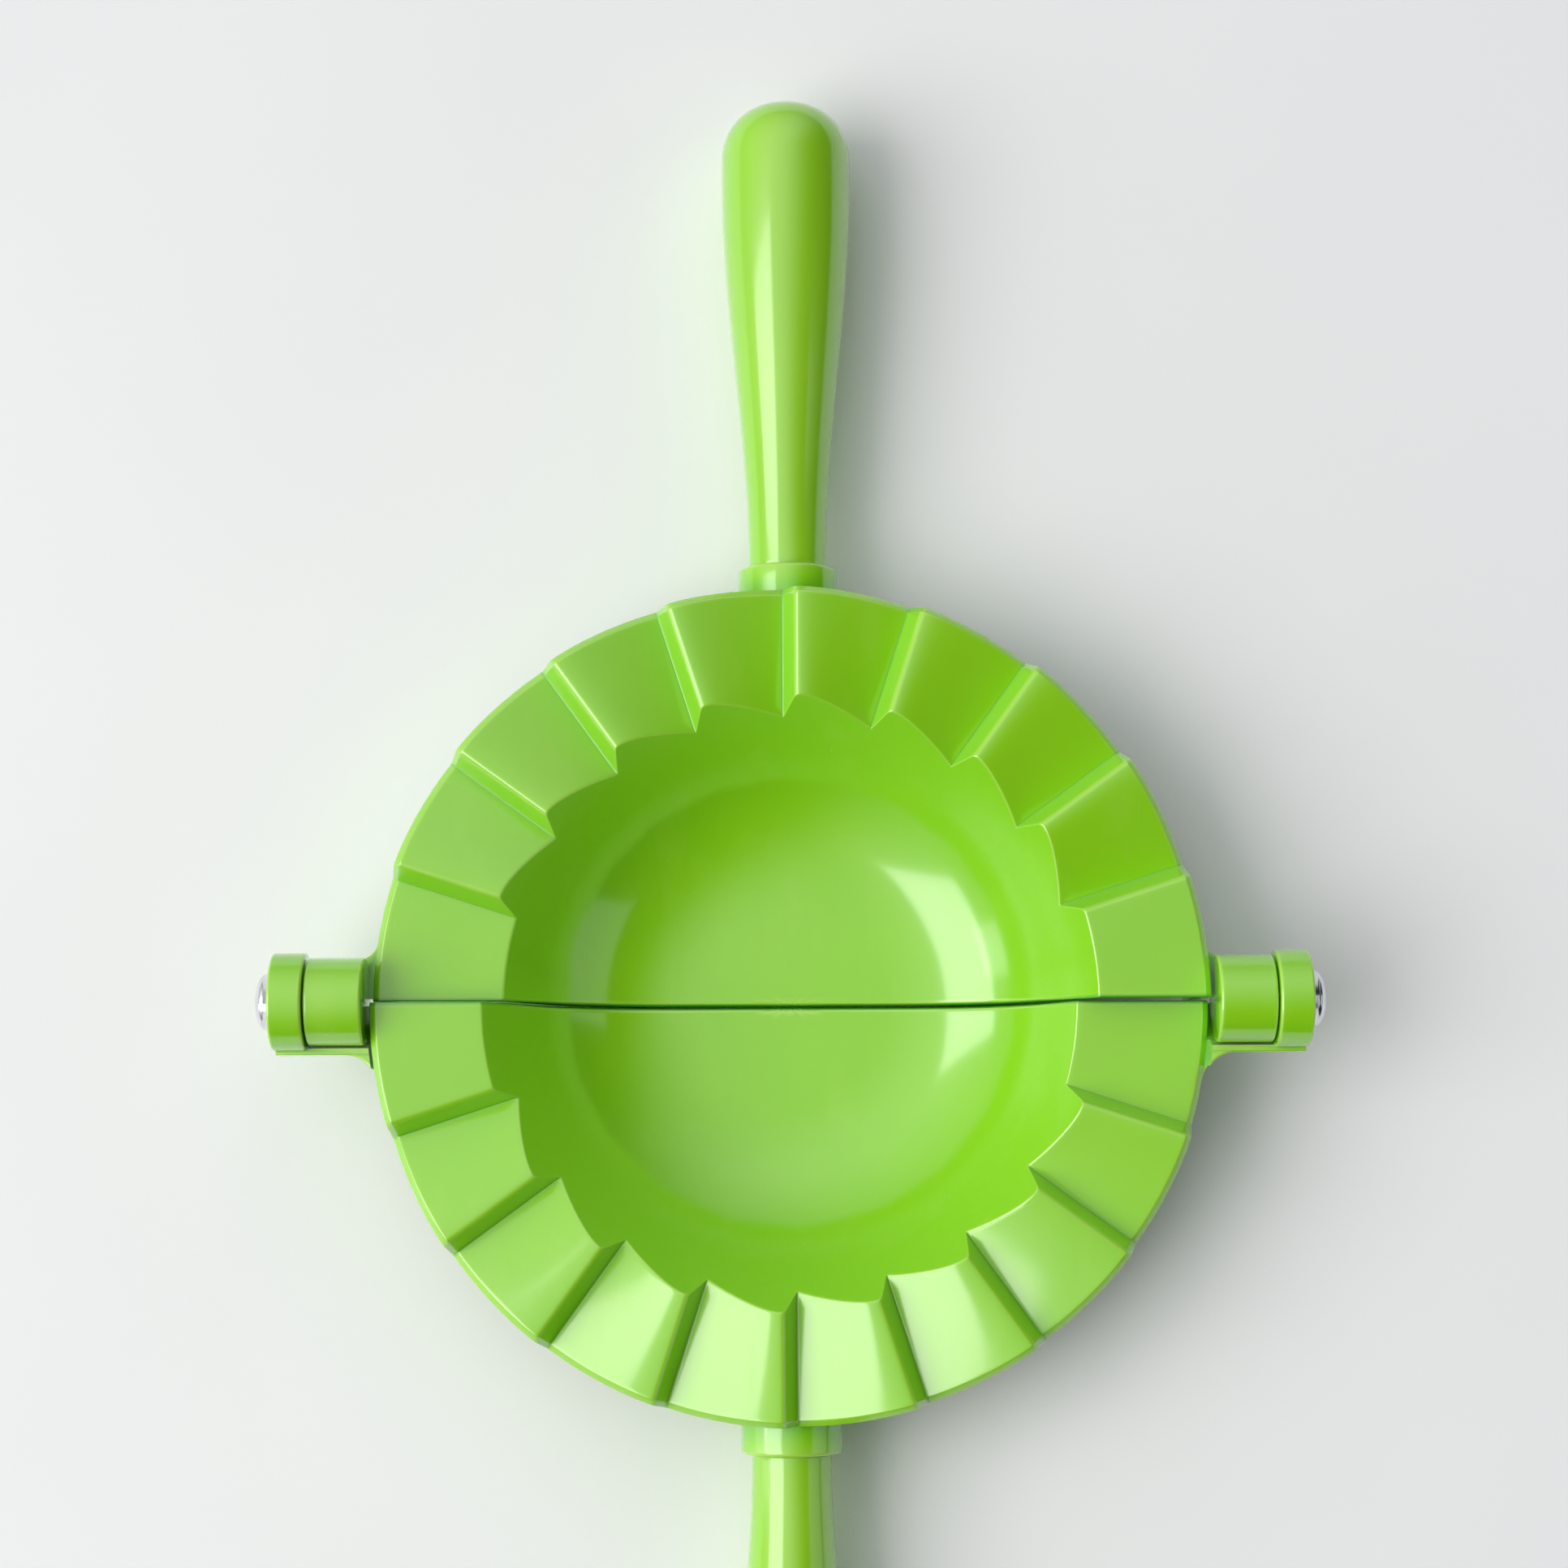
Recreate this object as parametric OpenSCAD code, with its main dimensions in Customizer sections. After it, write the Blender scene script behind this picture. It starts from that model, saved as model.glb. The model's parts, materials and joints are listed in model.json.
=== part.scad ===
// Crimping press for filled dough pockets, lying open. Two half bowls with a ramped tooth rim
// turn on one hinge line, and each carries a turned grip. Millimetres. X runs along the hinge,
// Y toward the upper grip, Z up, and the origin lies under the middle of the hinge on the table.

/* [Rim] */
// Outer diameter of the tooth rim
rim_d = 94.4; // [88:0.2:104]
// Height from the lowest to the highest point of a tooth
tooth_h = 3; // [2:0.1:3.6]
// Number of sectors round each half of the rim
sectors = 10; // [8:1:12]
// Slant of a riser away from upright, in degrees
riser_slant = 25; // [20:1:32]
// Radius on the crest and in the root of a riser
riser_edge_r = 0.4; // [0.2:0.05:0.6]
// Clearance between the two tooth faces when the press is shut
mesh_gap = 0.35; // [0.2:0.05:0.6]
// Distance between the two halves along the hinge line, at the tooth faces
parting_gap = 0.45; // [0.3:0.05:0.8]
// Slant of the parting faces, which opens the joint downward, in degrees
parting_draft = 0.9; // [0:0.1:2]
// Thickness of the flange under the teeth
flange_t = 2.2; // [1.6:0.1:3]
// Thickness of the skirt wall that hangs from the flange
skirt_t = 2; // [1.4:0.1:3]
// Depth of the skirt below the hinge line
skirt_depth = 9.5; // [8:0.5:11]
// Edge break round the outside of the teeth
rim_edge = 0.7; // [0.3:0.05:0.9]
// Edge break on the foot of the skirt
skirt_edge = 0.4; // [0.1:0.05:0.6]

/* [Bowl] */
// Inside diameter of the bowl where its wall crosses the hinge plane
bowl_d = 67.4; // [62:0.2:70]
// Depth of the bowl below the hinge plane
bowl_depth = 15; // [14:0.5:18]
// Diameter of the flat floor
floor_d = 35; // [28:0.5:38]
// Radius between the floor and the wall, inside
floor_r = 10.4; // [6:0.2:11]
// Thickness of the bowl shell
shell_t = 2; // [1.4:0.1:2.4]

/* [Hinge] */
// Diameter of the inner knuckles, which belong to the upper half
inner_knuckle_d = 9.9; // [9:0.1:10.6]
// Length of an inner knuckle
inner_knuckle_l = 6.7; // [5:0.1:9]
// Diameter of the outer knuckles, which belong to the lower half
outer_knuckle_d = 11; // [9.6:0.1:11.4]
// Length of an outer knuckle
outer_knuckle_l = 3.8; // [3:0.1:6]
// Clearance between the rim wall and the inner knuckle
side_gap = 0.8; // [0.5:0.05:1.2]
// Clearance along the hinge between the two knuckles of a side
knuckle_gap = 0.2; // [0.1:0.05:0.5]
// Clearance round the inner knuckle in its cradle
cradle_gap = 0.25; // [0.15:0.05:0.5]
// Distance from the hinge line to the outer face of an arm
arm_reach = 5.95; // [5.8:0.05:6.6]
// Depth of an arm below the hinge line
arm_depth = 7; // [6.4:0.1:7.8]
// Radius on the lower outer corner of an arm
arm_corner_r = 2.4; // [1:0.1:3]
// Radius of the flare where an arm runs into the rim wall
arm_flare_r = 3.8; // [2:0.1:5]
// Radius of the flare where the web of an inner knuckle runs into the rim wall
web_flare_r = 2.2; // [1:0.1:3]
// Edge break on the knuckles
knuckle_edge = 0.25; // [0.1:0.05:0.5]

/* [Screws] */
// Diameter of the screw shank
screw_d = 4; // [3:0.1:4.6]
// Running clearance round the shank in the outer knuckle, on the radius
screw_play = 0.05; // [0.02:0.01:0.1]
// Depth to which the shank is turned into the inner knuckle
screw_grip_l = 5.6; // [4:0.1:6]
// Diameter of the domed head
head_d = 7.1; // [6:0.1:8]
// Height of the domed head
head_h = 1.2; // [1:0.05:1.8]
// Clearance under the head
head_gap = 0.1; // [0.05:0.01:0.2]
// Length of each arm of the cross recess in the head
recess_l = 3.4; // [2.4:0.1:4]
// Width of the arms of the cross recess
recess_w = 0.7; // [0.4:0.05:1]
// Depth of the cross recess
recess_depth = 0.7; // [0.4:0.05:0.9]

/* [Collar] */
// Diameter of the collar that holds a grip
collar_d = 11.5; // [10.6:0.1:12]
// Length of the collar outside the rim
collar_l = 3.4; // [2:0.1:6]
// Drop of the collar axis below the hinge line
collar_drop = 8.5; // [8.1:0.1:9]
// Edge break on the collar
collar_edge = 0.4; // [0.1:0.05:0.8]
// Diameter of the bore that takes the spigot of a grip
socket_d = 6.5; // [5:0.1:7.6]
// Depth of that bore
socket_l = 12; // [8:0.5:13]

/* [Grips] */
// Length of a grip from the collar to its tip
grip_l = 56.4; // [44:0.2:70]
// Diameter of the neck at the collar
neck_d = 9; // [8.4:0.1:10.4]
// Diameter of the grip at its thickest
grip_d = 15.3; // [13:0.1:15.8]
// Length of the rounded tip
tip_l = 7.4; // [5:0.1:10]
// Radial clearance of the spigot in its bore
spigot_gap = 0.05; // [0.02:0.01:0.15]
// Free length left at the bottom of the bore
spigot_end_gap = 0.8; // [0.4:0.1:2]
// Edge break at the foot of the neck
neck_edge = 0.25; // [0.1:0.05:0.5]

/* [Hidden] */
$fn = 96;

plastic = "#86C832";
steel = "#C9CCCE";

// Overrun of every cut past the face it opens
over = 1;

rim_r = rim_d / 2;
skirt_in_r = rim_r - skirt_t;
// Where the hinge pieces start inside the skirt wall
root_x = skirt_in_r + skirt_t / 4;
hinge_z = bowl_depth + shell_t;
sector_a = 180 / sectors;

// Stations along each line of a tooth surface, as [radius, drop] pairs: level from inside the bowl
// to the edge break, then down across it and past the rim wall
surface_stations = [[floor_d / 2 + floor_r, 0], [rim_r - rim_edge, 0], [rim_r + over, rim_edge + over]];

// Shift of each riser along the rim, so that two meshing risers clear each other sideways
riser_shift = mesh_gap / 4;
// Steps in each rounded edge of a riser
riser_steps = 3;
// Steps along each ramp
ramp_steps = 5;

// Straight part of the bowl wall: a tangent from the rim point to the floor radius
wall_foot = [floor_d / 2, floor_r - bowl_depth];
wall_rim = [bowl_d / 2, 0];
wall_vec = wall_rim - wall_foot;
wall_a = atan2(wall_vec[1], wall_vec[0]) - acos(floor_r / norm(wall_vec));
bowl_steps = 10;

barrel_x = rim_r + side_gap;
outer_x = barrel_x + inner_knuckle_l + knuckle_gap;
arm_end_x = outer_x + outer_knuckle_l;
head_x = arm_end_x + head_gap;
bore_end_x = outer_x - knuckle_gap - screw_grip_l - knuckle_edge;
// Top of every web and flare beside the rim, below the foot of the edge break round the teeth
root_drop = tooth_h / 2 + mesh_gap + rim_edge;
// Clearance round the outside of the rim at the height of the teeth
rim_relief = side_gap / 2;

grip_y = rim_r + collar_l;
tip_power = 2.3;
tip_steps = 12;
flank_steps = 16;
// Share of the grip's length at which it is thickest
thickest_share = 0.83;

// Places n + 1 values evenly from a to b
function spread(a, b, n) = [for (i = [0 : n]) a + (b - a) * i / n];

// Points of one line of a tooth surface. A line is [angle, offset, height]: it runs outward beside
// the radius at that angle, and keeps its height up to the edge break
function line_points(l) =
    let (along = [cos(l[0]), sin(l[0]), 0], across = [sin(l[0]), -cos(l[0]), 0])
    [for (s = surface_stations) s[0] * along + l[1] * across + [0, 0, l[2] - s[1]]];

// Outline of one riser from its root to its crest, as [offset, height] pairs
riser_run = tooth_h * tan(riser_slant);
riser_turn = 90 - riser_slant;
riser_mid_x = riser_run / 2 + riser_edge_r * tan(riser_turn / 2);
riser_mid_z = tooth_h / 2 - riser_edge_r;
riser_half = [
    for (a = spread(0, riser_turn, riser_steps))
        [riser_mid_x - riser_edge_r * sin(a), riser_mid_z + riser_edge_r * cos(a)]
];
riser_soft = concat([for (p = riser_half) -p], [for (i = [riser_steps : -1 : 0]) riser_half[i]]);
riser_sharp = [[-riser_run / 2, -tooth_h / 2], [riser_run / 2, tooth_h / 2]];

function riser_lines(k, outline) = [
    for (p = outline) [180 - k * sector_a, p[0] + riser_shift, p[1] - mesh_gap / 2]
];

// Lines of a ramp or a level stretch between the lines a and b, without those two
function ramp_lines(a, b) = [for (i = [1 : ramp_steps - 1]) a + (b - a) * i / ramp_steps];

// All lines of the tooth surface of one half, from its left end to its right end
function tooth_lines(outline) =
    let (
        last = len(outline) - 1,
        risers = [for (k = [1 : sectors - 1]) riser_lines(k, outline)],
        low_end = [180, -over, -(tooth_h + mesh_gap) / 2],
        high_end = [0, over, (tooth_h - mesh_gap) / 2]
    )
    concat(
        [low_end],
        [
            for (k = [0 : sectors - 2])
                each concat(ramp_lines(k == 0 ? low_end : risers[k - 1][last], risers[k][0]), risers[k])
        ],
        ramp_lines(risers[sectors - 2][last], high_end),
        [high_end]
    );

// Solid between a surface made of such lines, lowered by drop, and the level z. Each facet pair
// is split so that a ramp sags a little between its lines, which keeps meshed ramps clear.
module surface_solid(lines, drop, z) {
    last = len(surface_stations) - 1;
    m = last + 3;
    end = m * (len(lines) - 1);
    points = [
        for (l = lines)
            let (top = line_points(l))
            each concat([for (p = top) p - [0, 0, drop]], [for (j = [last, 0]) [top[j][0], top[j][1], z]])
    ];
    sides = [
        for (i = [0 : m : end - m], j = [0 : m - 1])
            let (a = i + j, b = i + (j + 1) % m, c = b + m, d = a + m)
            each [[a, d, b], [b, d, c]]
    ];
    caps = [
        for (j = [1 : m - 2])
            let (a = j + 1, b = (j + 2) % m)
            each [[1, a, b], [end + 1, end + b, end + a]]
    ];
    polyhedron(points, concat(sides, caps));
}

// Points of the bowl's section from the middle of the floor to level top, offset outward by t
function bowl_section(t, top) =
    let (
        r = floor_r + t,
        foot = wall_foot + r * [cos(wall_a), sin(wall_a)],
        reach = (top - foot[1]) / cos(wall_a)
    )
    concat(
        [[0, -bowl_depth - t]],
        [for (a = spread(-90, wall_a, bowl_steps)) wall_foot + r * [cos(a), sin(a)]],
        [foot + reach * [-sin(wall_a), cos(wall_a)]]
    );

// Section of the skirt, up to the level that the teeth are cut from
skirt_section = [
    [skirt_in_r, skirt_edge - skirt_depth],
    [skirt_in_r + skirt_edge, -skirt_depth],
    [rim_r - skirt_edge, -skirt_depth],
    [rim_r, skirt_edge - skirt_depth],
    [rim_r, tooth_h],
    [skirt_in_r, tooth_h]
];

// A turned rod along Z from the origin, with both edges broken
module rod(r, l, foot_edge, end_edge) {
    rotate_extrude()
        polygon([
            [0, 0],
            [r - foot_edge, 0],
            [r, foot_edge],
            [r, l - end_edge],
            [r - end_edge, l],
            [0, l]
        ]);
}

// Puts children that stand on Z along +X, starting at x
module along_x(x) {
    translate([x, 0, 0])
        rotate([0, 90, 0])
            children();
}

// Puts children that stand on Z along the grip axis, starting at y
module along_grip(y) {
    translate([0, y, -collar_drop])
        rotate([-90, 0, 0])
            children();
}

// Draws its children at the right end of the hinge and mirrored at the left end
module both_ends() {
    children();
    mirror([1, 0, 0])
        children();
}

// Slab of even thickness that follows the teeth, between the bowl wall and the skirt
module flange() {
    intersection() {
        rotate_extrude()
            translate([bowl_d / 2, -flange_t - tooth_h])
                square([rim_r - skirt_t / 2 - bowl_d / 2, flange_t + 2 * tooth_h]);
        surface_solid(tooth_lines(riser_sharp), flange_t, 2 * tooth_h);
    }
}

// One half of the rim and bowl with its grip socket, on the +Y side, with the hinge line at z = 0
module rim_half() {
    difference() {
        union() {
            difference() {
                union() {
                    rotate_extrude()
                        polygon(concat(bowl_section(shell_t, tooth_h), [[0, tooth_h]]));
                    rotate_extrude()
                        polygon(skirt_section);
                    flange();
                }
                surface_solid(tooth_lines(riser_soft), 0, 2 * tooth_h + over);
            }
            along_grip(floor_d / 2)
                rod(collar_d / 2, grip_y - floor_d / 2, collar_edge, collar_edge);
        }
        rotate_extrude()
            polygon(concat(bowl_section(0, tooth_h + over), [[0, tooth_h + over]]));
        along_grip(grip_y - socket_l)
            cylinder(d = socket_d, h = socket_l + over);
        translate([0, parting_gap / 2, 0])
            rotate([parting_draft, 0, 0])
                translate([-rim_r - over, -rim_d, -rim_d])
                    cube([rim_d + 2 * over, rim_d, 2 * rim_d]);
    }
}

// Plan of the flare that runs from a straight edge at y = reach into the rim wall
module flare_plan(reach, r) {
    mid_y = reach + r;
    mid_x = sqrt((rim_r + r) ^ 2 - mid_y ^ 2);
    difference() {
        translate([root_x, 0])
            square([mid_x - root_x, mid_y * rim_r / (rim_r + r)]);
        translate([mid_x, mid_y])
            circle(r = r);
    }
}

// Space that the meshed teeth of the other half need beside the rim wall
module rim_clearance() {
    translate([0, 0, -root_drop])
        cylinder(r = rim_r + rim_relief, h = root_drop + outer_knuckle_d);
}

// Inner knuckle with the web that joins it to the skirt, at the right end
module inner_knuckle() {
    difference() {
        union() {
            along_x(barrel_x)
                rod(inner_knuckle_d / 2, inner_knuckle_l, knuckle_edge, knuckle_edge);
            intersection() {
                union() {
                    along_x(root_x)
                        cylinder(r = inner_knuckle_d / 2 - knuckle_edge, h = barrel_x + 2 * knuckle_edge - root_x);
                    translate([0, 0, -inner_knuckle_d / 2])
                        linear_extrude(inner_knuckle_d / 2)
                            difference() {
                                flare_plan(inner_knuckle_d / 2, web_flare_r);
                                square([rim_d, inner_knuckle_d / 4]);
                            }
                }
                translate([0, parting_gap, -skirt_depth])
                    cube([rim_d, rim_d, skirt_depth - root_drop]);
            }
        }
        along_x(bore_end_x)
            cylinder(d = screw_d, h = screw_grip_l + 2 * knuckle_edge + over);
    }
}

// Section of an arm square to the hinge line, in the plane of Y and Z
module arm_section() {
    corner = [arm_reach - arm_corner_r, arm_corner_r - arm_depth];
    translate(corner)
        circle(r = arm_corner_r);
    translate([parting_gap / 2, -arm_depth])
        square([corner[0] - parting_gap / 2, arm_depth]);
    translate([parting_gap / 2, corner[1]])
        square([arm_reach - parting_gap / 2, -corner[1]]);
}

// Arm with its cradle round the inner knuckle and its outer knuckle, at the right end
module arm() {
    difference() {
        union() {
            difference() {
                union() {
                    translate([root_x, 0, 0])
                        rotate([90, 0, 90])
                            linear_extrude(arm_end_x - root_x)
                                arm_section();
                    translate([0, 0, -arm_depth])
                        linear_extrude(arm_depth)
                            flare_plan(arm_reach, arm_flare_r);
                }
                along_x(root_x - over)
                    cylinder(d = inner_knuckle_d + 2 * cradle_gap, h = outer_x + over - root_x);
                rim_clearance();
            }
            along_x(outer_x)
                rod(outer_knuckle_d / 2, outer_knuckle_l, knuckle_edge, knuckle_edge);
        }
        along_x(outer_x - over)
            cylinder(d = screw_d + 2 * screw_play, h = outer_knuckle_l + 2 * over);
    }
}

// Outline of a grip, as [radius, height] pairs above the collar
flank_l = grip_l * thickest_share;
grip_outline = concat(
    [[neck_d / 2 - neck_edge, 0]],
    [
        for (s = spread(0, 1, flank_steps))
            [neck_d / 2 + (grip_d - neck_d) / 2 * s ^ 2 * (3 - 2 * s), max(neck_edge, flank_l * s)]
    ],
    [
        for (a = spread(0, 90, tip_steps))
            [grip_d / 2 * cos(a) ^ (2 / tip_power), grip_l - tip_l + tip_l * sin(a) ^ (2 / tip_power)]
    ]
);

// Grip with its spigot, along +Y
module grip() {
    spigot_r = socket_d / 2 - spigot_gap;
    spigot_l = socket_l - spigot_end_gap;
    along_grip(grip_y)
        rotate_extrude()
            polygon(concat(
                [[0, -spigot_l], [spigot_r - spigot_gap, -spigot_l], [spigot_r, -spigot_l + neck_edge]],
                [[spigot_r, 0]],
                grip_outline
            ));
}

// Domed screw at the right end, with its point toward the bowl
module hinge_screw() {
    dome_r = (head_h ^ 2 + head_d ^ 2 / 4) / (2 * head_h);
    dome_a = asin(head_d / 2 / dome_r);
    point_l = screw_d / 4;
    difference() {
        union() {
            along_x(head_x)
                rotate_extrude()
                    polygon(concat(
                        [[0, 0]],
                        [
                            for (a = spread(dome_a, 0, flank_steps))
                                [dome_r * sin(a), head_h - dome_r + dome_r * cos(a)]
                        ]
                    ));
            along_x(bore_end_x + knuckle_edge)
                rotate_extrude()
                    polygon([
                        [0, 0],
                        [screw_d / 2 - point_l, 0],
                        [screw_d / 2, point_l],
                        [screw_d / 2, head_x - bore_end_x],
                        [0, head_x - bore_end_x]
                    ]);
        }
        for (turn = [0, 90])
            rotate([turn, 0, 0])
                translate([head_x + head_h - recess_depth, -recess_l / 2, -recess_w / 2])
                    cube([recess_depth + over, recess_l, recess_w]);
    }
}

module upper_half() {
    color(plastic)
        translate([0, 0, hinge_z]) {
            rim_half();
            both_ends()
                inner_knuckle();
        }
}

module lower_half() {
    color(plastic)
        translate([0, 0, hinge_z])
            rotate([0, 0, 180]) {
                rim_half();
                both_ends()
                    arm();
            }
}

module upper_grip() {
    color(plastic)
        translate([0, 0, hinge_z])
            grip();
}

module lower_grip() {
    color(plastic)
        translate([0, 0, hinge_z])
            rotate([0, 0, 180])
                grip();
}

module right_hinge_screw() {
    color(steel)
        translate([0, 0, hinge_z])
            hinge_screw();
}

module left_hinge_screw() {
    color(steel)
        translate([0, 0, hinge_z])
            mirror([1, 0, 0])
                hinge_screw();
}

lower_half();
upper_half();
lower_grip();
upper_grip();
left_hinge_screw();
right_hinge_screw();
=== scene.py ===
"""Looks of a crimping press for filled dough pockets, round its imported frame. Metres, Z up."""

import json
import math

import bmesh
import bpy
import numpy as np
from mathutils import Matrix, Vector


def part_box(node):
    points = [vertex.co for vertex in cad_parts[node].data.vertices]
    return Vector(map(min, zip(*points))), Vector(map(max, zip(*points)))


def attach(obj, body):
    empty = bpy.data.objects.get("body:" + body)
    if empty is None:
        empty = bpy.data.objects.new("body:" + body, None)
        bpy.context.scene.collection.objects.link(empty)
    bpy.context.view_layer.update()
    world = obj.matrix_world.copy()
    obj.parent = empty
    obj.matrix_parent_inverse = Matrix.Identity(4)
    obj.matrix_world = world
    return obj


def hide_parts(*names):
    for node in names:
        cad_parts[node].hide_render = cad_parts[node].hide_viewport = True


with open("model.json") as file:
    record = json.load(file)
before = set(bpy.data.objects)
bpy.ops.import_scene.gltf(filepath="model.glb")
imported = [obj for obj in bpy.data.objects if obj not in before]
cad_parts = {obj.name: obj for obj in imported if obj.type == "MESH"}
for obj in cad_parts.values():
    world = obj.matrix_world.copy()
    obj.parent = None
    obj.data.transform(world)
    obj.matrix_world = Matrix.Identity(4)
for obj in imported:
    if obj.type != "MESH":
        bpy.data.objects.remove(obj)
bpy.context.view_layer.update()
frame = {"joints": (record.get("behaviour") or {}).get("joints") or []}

MM = 0.001

# The hinge line and the reach of the grips come from the frame
HINGE_Z = frame["joints"][0]["pos_m"][2]
TIP_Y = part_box("upper_grip")[1].y

# Rim and teeth
RIM_R = 47.2 * MM
TOOTH_H = 3.0 * MM
SECTORS = 10
RISER_SLANT = 25.0
CREST_R = 0.75 * MM
ROOT_R = 0.12 * MM
MESH_GAP = 0.35 * MM
# Share of a ramp over which its soft shoulder fades
SHOULDER_SHARE = 0.13
# The soft shoulders stand proud of straight ramps, so this much is added to the gap between the
# meshed teeth
SHOULDER_SINK = 0.35 * MM
RIM_EDGE = 0.7 * MM
EDGE_SOFT = 0.22 * MM
LIP_R = 0.35 * MM
FLANGE_T = 2.2 * MM
COVE_R = 0.5 * MM
SKIRT_T = 2.0 * MM
SKIRT_DEPTH = 9.5 * MM
SKIRT_EDGE = 0.4 * MM

# Parting between the halves
PARTING_GAP = 0.2 * MM
# The gap narrows downward, so that the worktop doesn't shine through it
PARTING_CLOSE = 0.004
PARTING_EDGE = 0.2 * MM
# Half width and depth of the groove that the two floors form along the parting
GROOVE_W = 0.48 * MM
GROOVE_DEPTH = 1.15 * MM
# Height at which the groove starts, and the fall over which it reaches its full size
GROOVE_TOP = -2.0 * MM
GROOVE_FALL = 8.0 * MM

# Bowl
BOWL_R = 33.7 * MM
BOWL_DEPTH = 15.0 * MM
FLOOR_FLAT_R = 17.5 * MM
FLOOR_R = 10.4 * MM
SHELL_T = 2.0 * MM
# Half the length over which the inner foot turns from the floor into the wall
FOOT_SPREAD = 12.0 * MM

# Hinge
HINGE_GAP = 0.45 * MM
# The arms end a touch sooner than their solids, so that the screw heads show as in the photograph
ARM_SHORT = 0.65 * MM
ARM_END_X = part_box("lower_half")[1].x - ARM_SHORT
SIDE_GAP = 0.5 * MM
KNUCKLE_GAP = 0.2 * MM
CRADLE_GAP = 0.25 * MM
INNER_KNUCKLE_R = 4.95 * MM
OUTER_KNUCKLE_R = 5.5 * MM
OUTER_KNUCKLE_L = 3.8 * MM
KNUCKLE_EDGE = 0.3 * MM
BARREL_X = RIM_R + SIDE_GAP
OUTER_X = ARM_END_X - OUTER_KNUCKLE_L
BARREL_END_X = OUTER_X - KNUCKLE_GAP
CRADLE_R = INNER_KNUCKLE_R + CRADLE_GAP
ARM_REACH = 5.95 * MM
ARM_DEPTH = 7.0 * MM
ARM_CORNER_R = 2.4 * MM
ARM_EDGE = 0.2 * MM
ARM_END_EDGE = 0.1 * MM
ARM_FLARE_R = 3.8 * MM
WEB_FLARE_R = 2.2 * MM
WEB_FLARE_EDGE = 0.1 * MM
WEB_END_EDGE = 0.05 * MM
# The arms and webs start this far inside the rim wall, and the webs below the meshed teeth
ROOT_L = 1.5 * MM
ROOT_X = RIM_R - ROOT_L
ROOT_DROP = TOOTH_H / 2 + MESH_GAP + RIM_EDGE
# How far a flare reaches past the point where it meets the rim wall
FLARE_SINK = 0.1 * MM
# Space beside the rim wall, and above the hinge line, for the meshed teeth of the other half
RIM_RELIEF = 0.4 * MM
RELIEF_TOP = 12.0 * MM

# Screws
SCREW_R = 2.0 * MM
SCREW_BORE_R = 2.05 * MM
# Length of shank that the inner knuckle holds
SCREW_GRIP_L = 5.6 * MM
SHANK_END_X = BARREL_END_X - SCREW_GRIP_L
# The bore runs on past the end of the shank
BORE_SPARE = 0.3 * MM
HEAD_GAP = 0.1 * MM
HEAD_X = ARM_END_X + HEAD_GAP
HEAD_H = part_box("right_hinge_screw")[1].x - HEAD_X
HEAD_R = 3.55 * MM
HEAD_EDGE = 0.1 * MM
HEAD_FLANK_H = 0.7 * MM
HEAD_FLANK_A = 32
HEAD_CAP_POWER = 0.9
RECESS_L = 3.4 * MM
RECESS_W = 0.72 * MM
RECESS_DEPTH = 0.7 * MM
RECESS_EDGE = 0.15 * MM
RECESS_CORNER_SHARE = 0.6

# Collars and grips
COLLAR_R = 5.75 * MM
COLLAR_L = 3.4 * MM
COLLAR_DROP = 8.5 * MM
COLLAR_EDGE = 0.4 * MM
SOCKET_R = 3.25 * MM
SOCKET_L = 12.0 * MM
SPIGOT_R = 3.2 * MM
SPIGOT_L = 11.2 * MM
SPIGOT_EDGE = 0.3 * MM
GRIP_Y = RIM_R + COLLAR_L
GRIP_L = TIP_Y - GRIP_Y
NECK_R = 4.5 * MM
NECK_EDGE = 0.25 * MM
GRIP_R = 7.65 * MM
# Shares of the flank and of the grip at which the flank starts and is thickest
FLANK_START_SHARE = 0.012
THICKEST_SHARE = 0.83
TIP_L = 7.4 * MM
TIP_POWER = 2.3

# Grid of the rim
# Columns at each end that round the edge of the parting face
EDGE_COLUMNS = 5
# Radii inside which the rounded edge and the risers narrow toward the middle of the floor
NEAR_R = 2.5 * MM
RISER_NEAR_R = 28.0 * MM
# Stations of the section that belong to the inside of the bowl: floor, foot and wall
FLOOR_SHARES = (0, 0.006, 0.015, 0.03, 0.06, 0.12, 0.25, 0.42, 0.6, 0.77, 0.9, 0.97)
FOOT_STEPS = 26
WALL_SHARES = (0.05, 0.25, 0.5, 0.75, 0.93, 0.985)
FLOOR_STATIONS = len(FLOOR_SHARES) + FOOT_STEPS + 1 + len(WALL_SHARES)
# Radii between which the columns turn from an even spread to the lines of the risers
EVEN_R = (19 * MM, 30 * MM)
# Shares of a sector at which the columns of the first, the sloping and the last lands stand
FIRST_SHARES = (0.04, 0.15, 0.35, 0.55, 0.75, 0.9, 0.97)
RAMP_SHARES = (0.02, 0.05, 0.09, 0.14, 0.21, 0.3, 0.42, 0.56, 0.7, 0.82, 0.92, 0.98)
LAST_SHARES = (0.03, 0.1, 0.25, 0.45, 0.65, 0.85, 0.96)

# Meshes in general
SHARP_ANGLE = math.radians(32)
# A face above this area that turns by more than this angle at an edge counts as a broad flat
FLAT_AREA = 0.8 * MM * MM
FLAT_ANGLE = math.radians(8)
# Turn at an edge, in degrees, from which the painted edge highlight or crease shade starts, and the further
# turn to full strength
EDGE_PAINT_FROM = 5
EDGE_PAINT_SPAN = 10
# Overrun of cuts
OVER = 1.0 * MM
# Step between two faces that would otherwise lie in one plane where pieces are joined
TUCK = 0.02 * MM
# Keeps the mitre of a sharp corner short
MITRE_LIMIT = 0.3

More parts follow.
